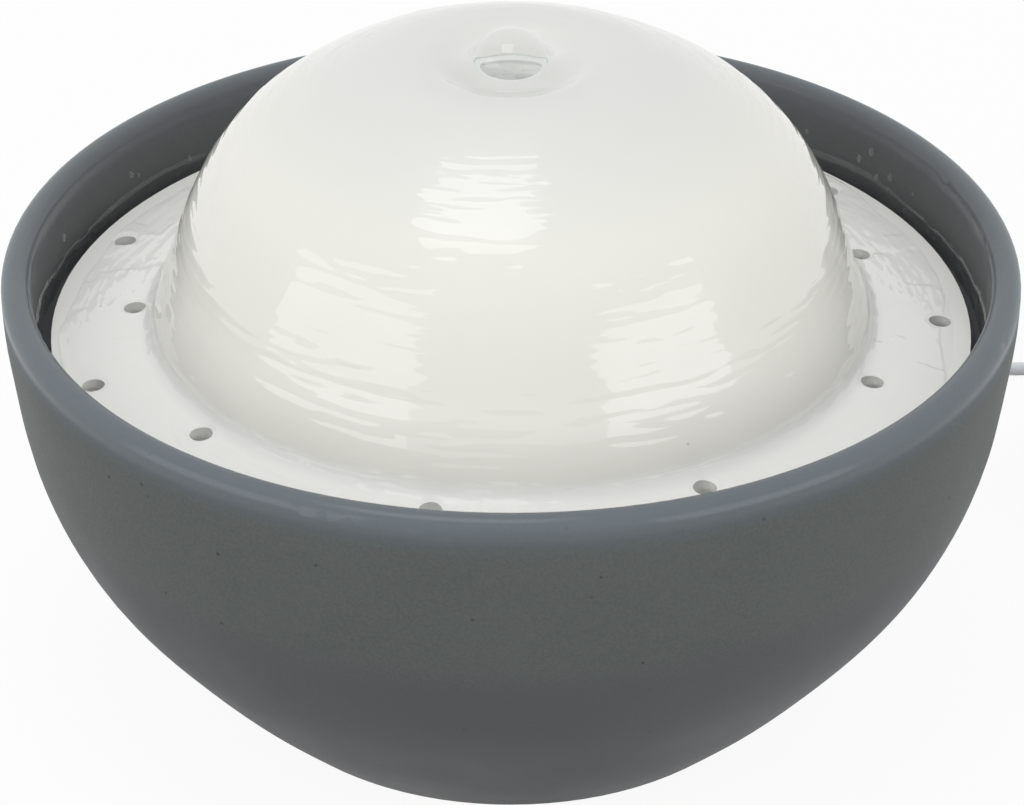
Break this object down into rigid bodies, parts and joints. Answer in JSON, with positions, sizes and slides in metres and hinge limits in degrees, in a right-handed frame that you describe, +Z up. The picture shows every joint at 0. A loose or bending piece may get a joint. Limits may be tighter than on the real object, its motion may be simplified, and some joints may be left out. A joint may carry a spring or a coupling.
{
  "type": "pet water fountain",
  "caption": "Round bowl with a perforated domed insert on an inner ledge, a submersible pump in a filter chamber under it, a riser tube and a low-voltage cord with a wall adapter.",
  "frame": {"origin": "centre of the footprint of the object without its cord, on the surface that the foot pads stand on", "axes": "+Z up, +Y to the back where the cord leaves the bowl, +X to the right seen from the front"},
  "size_m": [0.3647, 0.3567, 0.1852],
  "materials": {
    "bowl_glaze": "satin dark grey glaze",
    "dome_glaze": "gloss warm white glaze",
    "pad_silicone": "matte grey silicone",
    "sleeve_silicone": "matte grey-green silicone",
    "clear_tube": "clear PVC tube",
    "chamber_plastic": "satin white polypropylene",
    "frame_plastic": "satin polypropylene",
    "fleece": "white filter fleece",
    "carbon": "activated carbon granules",
    "pump_plastic": "satin black ABS",
    "black_rubber": "matte black rubber",
    "core_steel": "laminated steel",
    "copper": "enamelled copper wire",
    "ferrite": "sintered ferrite",
    "shaft_ceramic": "ground alumina",
    "dial_plastic": "satin blue polypropylene",
    "cord_pvc": "satin pale PVC sheath",
    "tie_plastic": "white strap",
    "adapter_plastic": "satin white ABS",
    "board": "green circuit board",
    "transformer_steel": "taped transformer",
    "pin_brass": "nickel-plated brass"
  },
  "bodies": {
    "base": {"bowl": "bowl_glaze", "foot_pads": "pad_silicone", "cable_grommet": "pad_silicone", "pump_chamber": "chamber_plastic", "pump_housing": "pump_plastic", "suction_cups": "black_rubber", "motor_end_cap": "pump_plastic", "pump_gland": "black_rubber", "stator_core": "core_steel", "coil_bobbin": "frame_plastic", "coil_winding": "copper", "impeller_shaft": "shaft_ceramic", "shaft_bushes": "black_rubber", "impeller_cover": "pump_plastic", "cover_seal": "black_rubber", "pump_lead": "cord_pvc", "power_cord": "cord_pvc", "cord_coil": "cord_pvc", "cord_tie": "tie_plastic", "cord_tail": "cord_pvc", "adapter_case": "adapter_plastic", "adapter_cover": "adapter_plastic", "adapter_board": "board", "adapter_transformer": "transformer_steel", "adapter_pins": "pin_brass", "adapter_gland": "cord_pvc"},
    "dome": {"fountain_dome": "dome_glaze", "outlet_sleeve": "sleeve_silicone"},
    "riser": {"riser_tube": "clear_tube"},
    "lid": {"chamber_lid": "chamber_plastic"},
    "cartridge": {"filter_frame": "frame_plastic", "filter_fleece": "fleece", "carbon_fill": "carbon"},
    "strainer": {"strainer_cover": "pump_plastic"},
    "dial": {"flow_dial": "dial_plastic"},
    "rotor": {"impeller": "frame_plastic", "rotor_magnet": "ferrite"}
  },
  "joints": [
    {"name": "dome_lift", "type": "slide", "parent": "base", "child": "dome", "axis": [0, 0, 1], "range_m": [0, 0.15]},
    {"name": "riser_pull", "type": "slide", "parent": "base", "child": "riser", "axis": [0, 0, 1], "range_m": [0, 0.0125]},
    {"name": "lid_lift", "type": "slide", "parent": "base", "child": "lid", "axis": [0, 0, 1], "range_m": [0, 0.05]},
    {"name": "cartridge_lift", "type": "slide", "parent": "base", "child": "cartridge", "axis": [0, 0, 1], "range_m": [0, 0.05]},
    {"name": "strainer_pull", "type": "slide", "parent": "base", "child": "strainer", "axis": [0, -1, 0], "range_m": [0, 0.012]},
    {"name": "flow_dial_turn", "type": "hinge", "parent": "strainer", "child": "dial", "pos_m": [0, -0.0232, 0.0335], "axis": [0, -1, 0], "range_deg": [0, 60]},
    {"name": "impeller_spin", "type": "hinge", "parent": "base", "child": "rotor", "pos_m": [0, 0, 0.0335], "axis": [0, 1, 0], "continuous": true}
  ]
}
